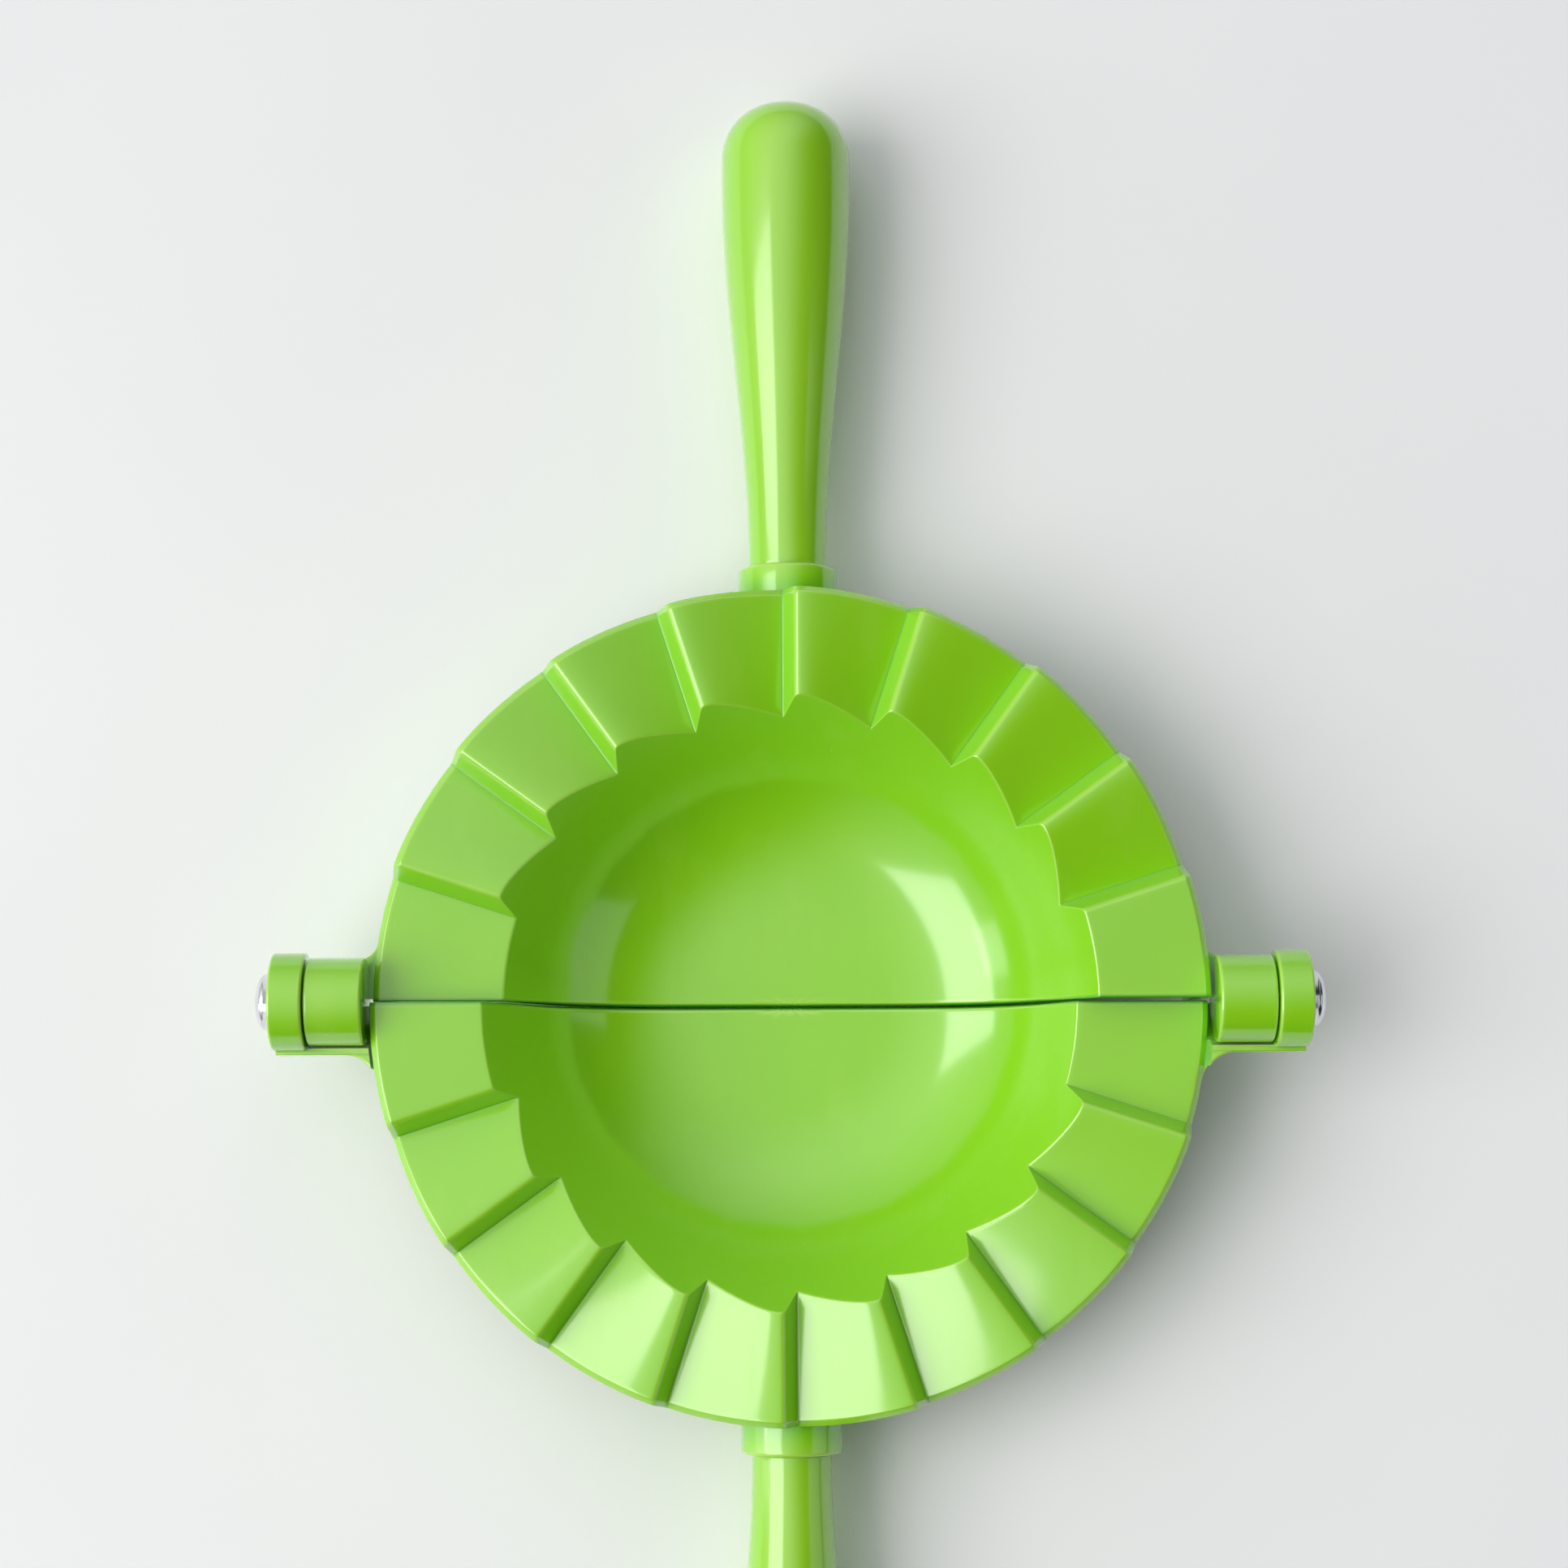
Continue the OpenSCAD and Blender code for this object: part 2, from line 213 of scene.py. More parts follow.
# Colours, as linear red, green and blue with alpha
RIM_GREEN = (0.31, 0.72, 0.011, 1)
RIM_DEEP = (0.28, 0.69, 0.009, 1)
# Deeper, less red green that steep rim faces turn to: painted shade
RIM_STEEP_SHADE = (0.265, 0.7, 0.009, 1)
GRIP_GREEN = (0.34, 0.71, 0.02, 1)
GRIP_DEEP = (0.3, 0.67, 0.014, 1)
# Deeper, less red green that steep grip faces turn to: painted shade
GRIP_STEEP_SHADE = (0.3, 0.71, 0.015, 1)
# Paler green for random worn patches, and for the painted highlight along outward edges
WORN_AND_HIGHLIGHT_GREEN = (0.56, 0.84, 0.14, 1)
# Darker green for inward edges and tooth roots: painted shade
CREASE_SHADE_GREEN = (0.1, 0.52, 0.006, 1)
# Dark green along the parting groove: painted shade
SEAM_SHADE_GREEN = (0.06, 0.38, 0.01, 1)
STEEL_DULL = (0.74, 0.75, 0.77, 1)
STEEL_BRIGHT = (0.86, 0.87, 0.88, 1)
FLOOR_DULL = (0.91, 0.91, 0.915, 1)
FLOOR_PALE = (0.94, 0.94, 0.94, 1)

# Stage and light
FLOOR_HALF = 3.0
LIGHT_DISTANCE = 1.4
WARM_WHITE = (1.0, 0.985, 0.95)
COOL_WHITE = (0.97, 0.99, 1.0)
SURROUND_WHITE = (0.95, 0.97, 1.0, 1)
# Way from the press to the brightest side of the surround
BRIGHT_SIDE = (-0.86, 0.51, 0)

# Camera fitted to the photograph: width of its frame, focal length and shift in its pixels, the
# place, and the turns about X, Y and Z in degrees
FRAME_PX = 1932
FOCAL_PX = 3834
SHIFT_X_PX = 30.9
SHIFT_Y_PX = -19.9
SENSOR_MM = 36.0
CAMERA_PLACE = (-1.8 * MM, -19.0 * MM, 366.7 * MM)
CAMERA_TURNS = (7.38, 0.26, -0.25)


# Outlines

def ease(x):
    """Smooth rise from 0 to 1."""
    return x * x * (3 - 2 * x)


def arc(cx, cz, r, a0, a1, n):
    """n + 1 points of an arc, as (x, z) pairs. The centre may be an array over columns."""
    return [
        (cx + r * math.cos(math.radians(a)), cz + r * math.sin(math.radians(a)))
        for a in np.linspace(a0, a1, n + 1)
    ]


def line(p, q, shares):
    """Points on the way from p to q at the given shares."""
    return [(p[0] + (q[0] - p[0]) * s, p[1] + (q[1] - p[1]) * s) for s in shares]


def plain_rod(r, z0, z1):
    """Profile of a rod with square edges."""
    return [(0, z0), (r, z0), (r, z1), (0, z1)]


def soft_rod(r, z0, z1, edge):
    """Profile of a rod with rounded edges."""
    out = [(0, z0)] + arc(r - edge, z0 + edge, edge, -90, 0, 5)
    out += line((r, z0 + edge), (r, z1 - edge), (0.03, 0.5, 0.97))
    return out + arc(r - edge, z1 - edge, edge, 0, 90, 5) + [(0, z1)]


def rounded(corners, steps):
    """A closed outline whose corners, given as (x, y, radius), are rounded."""
    out = []
    n = len(corners)
    for i, (x, y, r) in enumerate(corners):
        p = Vector((x, y))
        if r <= 0:
            out.append(p)
            continue
        a = (Vector(corners[i - 1][:2]) - p).normalized()
        b = (Vector(corners[(i + 1) % n][:2]) - p).normalized()
        half = math.acos(max(-1.0, min(1.0, a.dot(b)))) / 2
        centre = p + (a + b).normalized() * (r / math.sin(half))
        start = p + a * (r / math.tan(half)) - centre
        stop = p + b * (r / math.tan(half)) - centre
        angle = start.angle_signed(stop)
        for k in range(steps + 1):
            spin = -angle * k / steps
            c, s = math.cos(spin), math.sin(spin)
            out.append(centre + Vector((c * start.x - s * start.y, s * start.x + c * start.y)))
    return out


# Meshes

def mesh_object(name, points, faces):
    """A new object from points and faces."""
    mesh = bpy.data.meshes.new(name)
    mesh.from_pydata([tuple(p) for p in points], [], faces)
    mesh.update()
    obj = bpy.data.objects.new(name, mesh)
    bpy.context.scene.collection.objects.link(obj)
    return obj


def turned(name, profile, steps=96, axis="z"):
    """A closed body turned from (radius, height) pairs whose first and last radius are zero."""
    points, rings = [], []
    for r, z in profile:
        if r == 0:
            rings.append([len(points)])
            points.append((0, 0, z))
        else:
            rings.append(list(range(len(points), len(points) + steps)))
            for a in np.linspace(0, 2 * math.pi, steps, endpoint=False):
                points.append((r * math.cos(a), r * math.sin(a), z))
    faces = []
    for a, b in zip(rings, rings[1:]):
        for j in range(steps):
            k = (j + 1) % steps
            if len(a) == 1:
                faces.append([a[0], b[k], b[j]])
            elif len(b) == 1:
                faces.append([a[j], a[k], b[0]])
            else:
                faces.append([a[j], a[k], b[k], b[j]])
    turn = {
        "z": Matrix(),
        "x": Matrix.Rotation(math.pi / 2, 4, "Y"),
        "y": Matrix.Rotation(-math.pi / 2, 4, "X"),
    }[axis]
    return mesh_object(name, [turn @ Vector(p) for p in points], faces)


def prism(name, outline, lo, hi, edge, plane):
    """A prism over a counter-clockwise outline, with both ends' edges rounded. plane is "yz" for a
    prism along X, and "xy" for one along Z."""
    pts = np.array([(p[0], p[1]) for p in outline])
    ahead, back = np.roll(pts, -1, 0) - pts, pts - np.roll(pts, 1, 0)
    n1 = np.stack([ahead[:, 1], -ahead[:, 0]], 1) / np.linalg.norm(ahead, axis=1)[:, None]
    n0 = np.stack([back[:, 1], -back[:, 0]], 1) / np.linalg.norm(back, axis=1)[:, None]
    normal = (n0 + n1) / np.maximum(1 + (n0 * n1).sum(1), MITRE_LIMIT)[:, None]
    turns = np.linspace(0, math.pi / 2, 5)
    levels = [(lo + edge * (1 - math.cos(a)), edge * (1 - math.sin(a))) for a in turns]
    levels += [(hi - edge * (1 - math.cos(a)), edge * (1 - math.sin(a))) for a in turns[::-1]]
    points, n = [], len(pts)
    for level, inset in levels:
        for u, v in pts - normal * inset:
            points.append((level, u, v) if plane == "yz" else (u, v, level))
    faces = [list(range(n))[::-1], [len(points) - n + k for k in range(n)]]
    for i in range(len(levels) - 1):
        for j in range(n):
            k = (j + 1) % n
            faces.append([i * n + j, i * n + k, i * n + n + k, i * n + n + j])
    return mesh_object(name, points, faces)


def closed_grid(name, x, y, z):
    """A closed body from a grid of points whose first and last row meet in one point each, with one
    face between its first and last column."""
    rows, cols = x.shape
    points = [(0.0, y[0, 0], z[0, 0])]
    index = np.zeros((rows, cols), int)
    for i in range(1, rows - 1):
        for j in range(cols):
            index[i, j] = len(points)
            points.append((x[i, j], y[i, j], z[i, j]))
    index[-1] = len(points)
    points.append((0.0, y[-1, 0], z[-1, 0]))
    faces = []
    for i in range(rows - 1):
        for j in range(cols - 1):
            a, b, c, d = index[i, j], index[i, j + 1], index[i + 1, j + 1], index[i + 1, j]
            if a == b:
                faces.append([a, c, d])
            elif c == d:
                faces.append([a, b, d])
            else:
                faces.append([a, b, c, d])
    faces.append([0, *index[1:-1, 0], index[-1, 0], *index[-2:0:-1, -1]])
    return mesh_object(name, points, [[int(v) for v in f] for f in faces])


def boolean(obj, other, operation):
    """Joins other to obj, or cuts it from obj, and removes other."""
    mod = obj.modifiers.new("cut", "BOOLEAN")
    mod.object, mod.operation, mod.solver = other, operation, "MANIFOLD"
    graph = bpy.context.evaluated_depsgraph_get()
    mesh = bpy.data.meshes.new_from_object(obj.evaluated_get(graph))
    obj.modifiers.clear()
    obj.data = mesh
    bpy.data.objects.remove(other)
    return obj


def mirrored(obj, name):
    """A copy of obj mirrored across X = 0."""
    copy = bpy.data.objects.new(name, obj.data.copy())
    bpy.context.scene.collection.objects.link(copy)
    copy.data.transform(Matrix.Diagonal((-1, 1, 1, 1)))
    copy.data.flip_normals()
    return copy


# Half shells

def wall_angle():
    """Angle of the bowl wall's outward normal, in degrees below level."""
    foot = (FLOOR_FLAT_R, FLOOR_R - BOWL_DEPTH)
    vx, vz = BOWL_R - foot[0], -foot[1]
    return math.degrees(math.atan2(vz, vx) - math.acos(FLOOR_R / math.hypot(vx, vz)))


WALL_A = wall_angle()
WALL_RUN = math.tan(math.radians(-WALL_A))


def on_wall(z, t):
    """Radius of the bowl wall at height z, offset outward by t."""
    return BOWL_R + z * WALL_RUN + t / math.cos(math.radians(WALL_A))


def foot_arc(t):
    """The rounded foot of the bowl, offset outward by t."""
    return arc(FLOOR_FLAT_R, FLOOR_R - BOWL_DEPTH, FLOOR_R + t, -90, WALL_A, 16)


def soft_foot():
    """Inner foot of the bowl as a polished mould has it: its curvature swells and fades along the
    way, and its end lies on the wall."""
    lean = math.radians(90 + WALL_A)
    fine = 20
    count = FOOT_STEPS * fine
    step = 2 * FOOT_SPREAD / count
    r, z, out = 0.0, 0.0, [(0.0, 0.0)]
    for k in range(count):
        tilt = lean * ease((k + 0.5) / count)
        r, z = r + step * math.cos(tilt), z + step * math.sin(tilt)
        if (k + 1) % fine == 0:
            out.append((r, z))
    shift = on_wall(z - BOWL_DEPTH, 0) - r
    return [(a + shift, b - BOWL_DEPTH) for a, b in out]


def riser_outline():
    """One riser from root to crest, as (offset along the rim, height) pairs."""
    turn = 90 - RISER_SLANT
    run = TOOTH_H * math.tan(math.radians(RISER_SLANT))

    def corner(r, n):
        mid_x = run / 2 + r * math.tan(math.radians(turn / 2))
        mid_z = TOOTH_H / 2 - r
        return [
            (mid_x - r * math.sin(math.radians(a)), mid_z + r * math.cos(math.radians(a)))
            for a in np.linspace(0, turn, n + 1)
        ]

    root = [(-x, -z) for x, z in corner(ROOT_R, 5)]
    crest = corner(CREST_R, 7)[::-1]
    return root + line(root[-1], crest[0], (0.5,)) + crest


def ramp_fall(s):
    """Share of the tooth height by which a ramp has fallen at share s of its length: it leaves the
    crest level and bends over a soft shoulder."""
    soft = SHOULDER_SHARE * (1 - math.exp(-s / SHOULDER_SHARE))
    whole = SHOULDER_SHARE * (1 - math.exp(-1 / SHOULDER_SHARE))
    return (s - soft) / (1 - whole)


def tooth_columns():
    """Columns of the rim grid from left to right: two borders (angle, offset, reference radius), the
    share between them, and the height of the tooth surface."""
    gap = MESH_GAP + SHOULDER_SINK
    low, high = (-TOOTH_H - gap) / 2, (TOOTH_H - gap) / 2
    outline = [(x + MESH_GAP / 4, z - gap / 2) for x, z in riser_outline()]
    edge = [PARTING_EDGE * (1 - math.cos(a)) for a in np.linspace(0, math.pi / 2, EDGE_COLUMNS)]

    def own(angle, offset, ref, z):
        return ((angle, offset, ref), (angle, offset, ref), 0.0, z)

    def between(a, b, shares, height):
        return [(a[0], b[0], s, height(s)) for s in shares]

    risers = [
        [own(180 / SECTORS * k, x, RISER_NEAR_R, z) for x, z in outline]
        for k in range(1, SECTORS)
    ]
    start = [own(0, d, NEAR_R, low) for d in edge]
    end = [own(180, -d, NEAR_R, high) for d in edge[::-1]]
    columns = start + between(start[-1], risers[0][0], FIRST_SHARES, lambda s: low)
    for riser, following in zip(risers, risers[1:]):
        columns += riser
        columns += between(riser[-1], following[0], RAMP_SHARES, lambda s: high - TOOTH_H * ramp_fall(s))
    columns += risers[-1]
    return columns + between(risers[-1][-1], end[0], LAST_SHARES, lambda s: high) + end


def section(h):
    """Section of a half at tooth height h, from the middle of the floor over the teeth and round the
    skirt back to the middle underneath. Each station is a (radius, height) pair."""
    lean = math.radians(-WALL_A)
    lip = (on_wall(h, 0), h)
    reach = LIP_R * math.tan(lean / 2 + math.pi / 4 - lean)
    lip_low = (lip[0] - reach * math.sin(lean), lip[1] - reach * math.cos(lean))
    foot = soft_foot()
    out = line((0, -BOWL_DEPTH), foot[0], FLOOR_SHARES) + foot
    out += line(foot[-1], lip_low, WALL_SHARES)
    out += arc(lip[0] + reach, h - LIP_R, LIP_R, 180 + WALL_A, 90, 5)
    soft = EDGE_SOFT * math.tan(math.radians(22.5))
    edge_r = RIM_R - RIM_EDGE
    out += line((lip[0] + reach, h), (edge_r - soft, h), (0.03, 0.15, 0.35, 0.55, 0.75, 0.9, 0.98))
    out += arc(edge_r - soft, h - EDGE_SOFT, EDGE_SOFT, 90, 45, 3)
    out += arc(RIM_R - EDGE_SOFT, h - RIM_EDGE - soft, EDGE_SOFT, 45, 0, 3)
    top = (RIM_R, h - RIM_EDGE - soft)
    base = -SKIRT_DEPTH + SKIRT_EDGE
    out += line(top, (RIM_R, base), (0.04, 0.2, 0.45, 0.7, 0.9, 0.98))
    out += arc(RIM_R - SKIRT_EDGE, base, SKIRT_EDGE, 0, -90, 5)
    skirt_in = RIM_R - SKIRT_T
    out += arc(skirt_in + SKIRT_EDGE, base, SKIRT_EDGE, -90, -180, 5)
    return out + underside(skirt_in, base, h - FLANGE_T)


def underside(skirt_in, base, under):
    """The rest of the section, from the skirt's inner face under the rim and bowl to the middle."""
    lean = math.radians(-WALL_A)
    out = line((skirt_in, base), (skirt_in, under - COVE_R), (0.05, 0.35, 0.7, 0.95))
    out += arc(skirt_in - COVE_R, under - COVE_R, COVE_R, 0, 90, 4)
    bend = on_wall(under, SHELL_T) + COVE_R * math.tan(lean / 2)
    out += line((skirt_in - COVE_R, under), (bend, under), (0.1, 0.35, 0.65, 0.92))
    out += arc(bend, under - COVE_R, COVE_R, 90, 180 + WALL_A, 4)
    outer = foot_arc(SHELL_T)[::-1]
    out += line(out[-1], outer[0], (0.1, 0.4, 0.7, 0.95)) + outer
    level = -BOWL_DEPTH - SHELL_T
    return out + line((FLOOR_FLAT_R, level), (0, level), [1 - s for s in FLOOR_SHARES[::-1]])


def groove_size(z):
    """Width and depth of the rounded edge along the parting. Down the bowl it widens into a groove."""
    inside = np.arange(len(z))[:, None] < FLOOR_STATIONS
    low = ease(np.where(inside, np.clip((GROOVE_TOP - z) / GROOVE_FALL, 0, 1), 0))
    width = PARTING_EDGE + (GROOVE_W - PARTING_EDGE) * low
    depth = PARTING_EDGE + (GROOVE_DEPTH - PARTING_EDGE) * low
    return width, depth


def column_angles(columns, r, width):
    """Angle of each grid point round the middle of the bowl."""
    def border(which):
        angle = np.radians([c[which][0] for c in columns])
        offset = np.array([c[which][1] for c in columns])
        ref = np.array([c[which][2] for c in columns])
        return angle + np.arcsin(offset / np.maximum(r, ref))

    share = np.array([c[2] for c in columns])
    phi = border(0) * (1 - share) + border(1) * share
    edge, middle = slice(0, EDGE_COLUMNS), slice(EDGE_COLUMNS, -EDGE_COLUMNS)
    turns = 1 - np.cos(np.linspace(0, math.pi / 2, EDGE_COLUMNS))
    phi[:, edge] = np.arcsin(turns * width[:, edge] / np.maximum(r[:, edge], NEAR_R))
    phi[:, -EDGE_COLUMNS:] = math.pi - phi[:, edge][:, ::-1]
    # Inside the bowl the columns leave the risers and spread out evenly
    first, last = phi[:, [EDGE_COLUMNS - 1]], phi[:, [-EDGE_COLUMNS]]
    inner = len(columns) - 2 * EDGE_COLUMNS
    spread = first + (last - first) * np.arange(1, inner + 1) / (inner + 1)
    near = ease(np.clip((r[:, middle] - EVEN_R[0]) / (EVEN_R[1] - EVEN_R[0]), 0, 1))
    phi[:, middle] = spread * (1 - near) + phi[:, middle] * near
    return phi


def parting_y(level):
    """Distance of the parting face from the hinge line, at a height."""
    return PARTING_GAP / 2 + level * PARTING_CLOSE


def round_parting(phi, r, z, width, depth):
    """Radii and heights after the grid points beside the parting face have sunk along their
    normals, which rounds its edges."""
    dist = r * np.sin(phi) * (1 - parting_y(z) / RIM_R)
    sink = np.clip(1 - dist / width, 0, 1)
    sink = depth * (1 - np.sqrt(1 - sink ** 2))
    dr, dz = np.gradient(r, axis=0), np.gradient(z, axis=0)
    size = np.maximum(np.hypot(dr, dz), 1e-12)
    nr, nz = -dz / size, dr / size
    nr[[0, -1]], nz[[0, -1]] = 0, [[1], [-1]]
    return r - nr * sink, z - nz * sink


def half_shell(name):
    """Half of the rim and bowl on the +Y side, with the hinge line at z = 0."""
    columns = tooth_columns()
    h = np.array([c[3] for c in columns])
    stations = section(h)
    r = np.array([np.broadcast_to(s[0], h.shape) for s in stations])
    z = np.array([np.broadcast_to(s[1], h.shape) for s in stations])
    width, depth = groove_size(z)
    phi = column_angles(columns, r, width)
    r, z = round_parting(phi, r, z, width, depth)
    gap = parting_y(z)
    return closed_grid(name, -r * np.cos(phi), gap + r * np.sin(phi) * (1 - gap / RIM_R), z)


# Hinge, collars, grips and screws

def flare_outline(reach, r, start_y):
    """Plan of the flare between a straight edge at y = reach and the rim wall."""
    mid_y = reach + r - TUCK
    mid_x = math.sqrt((RIM_R + r) ** 2 - mid_y ** 2)
    toward = math.degrees(math.atan2(-mid_y, -mid_x))
    bend = arc(mid_x, mid_y, r, -90, toward, 12)
    inside = ROOT_X, bend[-1][1] - FLARE_SINK
    return [(ROOT_X, start_y), (mid_x, start_y)] + bend + [inside]


def rim_clearance():
    """Space beside the rim wall that the meshed teeth of the other half sweep."""
    profile = plain_rod(RIM_R + RIM_RELIEF, -ROOT_DROP, RELIEF_TOP)
    return turned("clearance", profile, steps=192)


def arm():
    """Arm, cradle and outer knuckle at the right end."""
    block = rounded([
        (HINGE_GAP / 2, 0, ARM_EDGE),
        (HINGE_GAP / 2, -ARM_DEPTH, ARM_EDGE),
        (ARM_REACH, -ARM_DEPTH, ARM_CORNER_R),
        (ARM_REACH, 0, ARM_EDGE),
    ], 10)
    body = prism("arm", block, ROOT_X, ARM_END_X - KNUCKLE_EDGE, ARM_END_EDGE, "yz")
    flare = flare_outline(ARM_REACH, ARM_FLARE_R, OVER)
    boolean(body, prism("flare", flare, TUCK - ARM_DEPTH, -TUCK, ARM_EDGE, "xy"), "UNION")
    cradle = soft_rod(CRADLE_R, ROOT_X - OVER, OUTER_X, KNUCKLE_EDGE)
    boolean(body, turned("cradle", cradle, axis="x"), "DIFFERENCE")
    boolean(body, rim_clearance(), "DIFFERENCE")
    knuckle = soft_rod(OUTER_KNUCKLE_R, OUTER_X, ARM_END_X, KNUCKLE_EDGE)
    boolean(body, turned("knuckle", knuckle, axis="x"), "UNION")
    bore = plain_rod(SCREW_BORE_R, OUTER_X - OVER, ARM_END_X + OVER)
    return boolean(body, turned("bore", bore, steps=48, axis="x"), "DIFFERENCE")


def inner_knuckle():
    """Inner knuckle and its web at the right end."""
    root_r = INNER_KNUCKLE_R - KNUCKLE_EDGE
    low = math.degrees(math.asin(ROOT_DROP / root_r))
    start = math.degrees(math.acos(HINGE_GAP / root_r))
    web = [(HINGE_GAP, -ROOT_DROP)] + arc(0, 0, root_r, -start, -low, 12)
    body = prism("web", web, ROOT_X, BARREL_X + KNUCKLE_EDGE * 2, WEB_END_EDGE, "yz")
    flare = flare_outline(INNER_KNUCKLE_R, WEB_FLARE_R, INNER_KNUCKLE_R / 2)
    flare = prism("flare", flare, -INNER_KNUCKLE_R, -ROOT_DROP - TUCK, WEB_FLARE_EDGE, "xy")
    boolean(body, flare, "UNION")
    barrel = soft_rod(INNER_KNUCKLE_R, BARREL_X, BARREL_END_X, KNUCKLE_EDGE)
    boolean(body, turned("barrel", barrel, axis="x"), "UNION")
    bore = plain_rod(SCREW_R, SHANK_END_X - BORE_SPARE, BARREL_END_X + OVER)
    return boolean(body, turned("bore", bore, steps=48, axis="x"), "DIFFERENCE")


def collar():
    """Collar that holds a grip, down to the middle of the bowl wall."""
    rod = soft_rod(COLLAR_R, FLOOR_FLAT_R, GRIP_Y, COLLAR_EDGE)
    body = turned("collar", rod, axis="y")
    body.data.transform(Matrix.Translation((0, 0, -COLLAR_DROP)))
    mid = SHELL_T / 2
    core = [(0, -BOWL_DEPTH - mid)] + foot_arc(mid)
    core += [(on_wall(TOOTH_H, mid), TOOTH_H), (0, TOOTH_H)]
    return boolean(body, turned("core", core, steps=128), "DIFFERENCE")


def socket():
    """The bore of a collar, as the body that is cut out."""
    profile = plain_rod(SOCKET_R, GRIP_Y - SOCKET_L, GRIP_Y + OVER)
    cut = turned("socket", profile, steps=64, axis="y")
    cut.data.transform(Matrix.Translation((0, 0, -COLLAR_DROP)))
    return cut


def press_half(name, hinge_piece):
    """One half with its hinge pieces and its grip collar, on the +Y side."""
    half = half_shell(name)
    right = hinge_piece()
    left = mirrored(right, "left")
    for part in (right, left, collar()):
        boolean(half, part, "UNION")
    return boolean(half, socket(), "DIFFERENCE")


def grip(name):
    """Turned grip with its spigot, on the +Y side."""
    profile = [(0, -SPIGOT_L), (SPIGOT_R - SPIGOT_EDGE, -SPIGOT_L), (SPIGOT_R, SPIGOT_EDGE - SPIGOT_L)]
    profile += [(SPIGOT_R, -SPIGOT_EDGE), (SPIGOT_R, 0)]
    profile += arc(NECK_R - NECK_EDGE, NECK_EDGE, NECK_EDGE, -90, 0, 5)
    for s in np.linspace(FLANK_START_SHARE, 1, 48):
        profile.append((NECK_R + (GRIP_R - NECK_R) * ease(s), GRIP_L * THICKEST_SHARE * s))
    for a in np.linspace(0, math.pi / 2, 40)[:-1]:
        c, s = math.cos(a) ** (2 / TIP_POWER), math.sin(a) ** (2 / TIP_POWER)
        profile.append((GRIP_R * c, GRIP_L - TIP_L + TIP_L * s))
    profile.append((0, GRIP_L))
    obj = turned(name, profile, steps=128, axis="y")
    obj.data.transform(Matrix.Translation((0, GRIP_Y, -COLLAR_DROP)))
    return obj


def recess_bar():
    """One bar of a screw's cross recess, as the body that is cut out."""
    half_l, half_w = RECESS_L / 2, RECESS_W / 2
    corner = half_w * RECESS_CORNER_SHARE
    bar = rounded([
        (-half_l, -half_w, corner),
        (half_l, -half_w, corner),
        (half_l, half_w, corner),
        (-half_l, half_w, corner),
    ], 4)
    top = HEAD_X + HEAD_H
    return prism("slot", bar, top - RECESS_DEPTH, top + OVER, RECESS_EDGE, "yz")


def hinge_screw(name):
    """Domed screw with a cross recess, at the right end."""
    flank_x = HEAD_X + HEAD_FLANK_H
    flank_r = HEAD_R - HEAD_FLANK_H * math.tan(math.radians(HEAD_FLANK_A))
    tip = SCREW_R / 2
    profile = [(0, SHANK_END_X), (tip, SHANK_END_X), (SCREW_R, SHANK_END_X + tip)]
    profile += line(profile[-1], (SCREW_R, HEAD_X), (0.3, 0.6, 0.98, 1))
    profile += arc(HEAD_R - HEAD_EDGE, HEAD_X + HEAD_EDGE, HEAD_EDGE, -90, 0, 4)
    profile += line(profile[-1], (flank_r, flank_x), (0.25, 0.5, 0.75))
    for a in np.linspace(0, math.pi / 2, 24)[:-1]:
        cap_r = flank_r * math.cos(a) ** HEAD_CAP_POWER
        profile.append((cap_r, flank_x + (HEAD_H - HEAD_FLANK_H) * math.sin(a)))
    profile.append((0, HEAD_X + HEAD_H))
    obj = turned(name, profile, axis="x")
    for spin in (0, math.pi / 2):
        bar = recess_bar()
        bar.data.transform(Matrix.Rotation(spin, 4, "X"))
        boolean(obj, bar, "DIFFERENCE")
    return obj


# Materials

def nodes_of(name):
    """A new material and its empty node tree."""
    mat = bpy.data.materials.new(name)
    mat.use_nodes = True
    mat.node_tree.nodes.clear()
    return mat, mat.node_tree


def add(tree, kind, inputs=None, **settings):
    """A new node. Inputs are plain values or the outputs of other nodes."""
    node = tree.nodes.new(kind)
    for key, value in settings.items():
        setattr(node, key, value)
    for key, value in (inputs or {}).items():
        if isinstance(value, bpy.types.NodeSocket):
            tree.links.new(value, node.inputs[key])
        else:
            node.inputs[key].default_value = value
    return node


def noise(tree, coords, scale, detail, rough=0.5, stretch=None):
    """Noise at features per metre, stretched where asked."""
    if stretch:
        coords = add(tree, "ShaderNodeMapping", {"Vector": coords, "Scale": stretch}).outputs[0]
    inputs = {"Vector": coords, "Scale": scale, "Detail": detail, "Roughness": rough}
    return add(tree, "ShaderNodeTexNoise", inputs).outputs["Fac"]


def remap(tree, value, lo, hi, out_lo=0.0, out_hi=1.0):
    """A value from lo to hi, brought to out_lo to out_hi and kept there."""
    inputs = {"Value": value, "From Min": lo, "From Max": hi, "To Min": out_lo, "To Max": out_hi}
    return add(tree, "ShaderNodeMapRange", inputs).outputs["Result"]


def maths(tree, operation, a, b):
    """The result of a sum or product of two values."""
    return add(tree, "ShaderNodeMath", {0: a, 1: b}, operation=operation).outputs[0]


def mix(tree, fac, a, b):
    """Colour a turning into colour b as fac rises. Inputs 0, 6 and 7 are those of a colour mix."""
    return add(tree, "ShaderNodeMix", {0: fac, 6: a, 7: b}, data_type="RGBA").outputs[2]


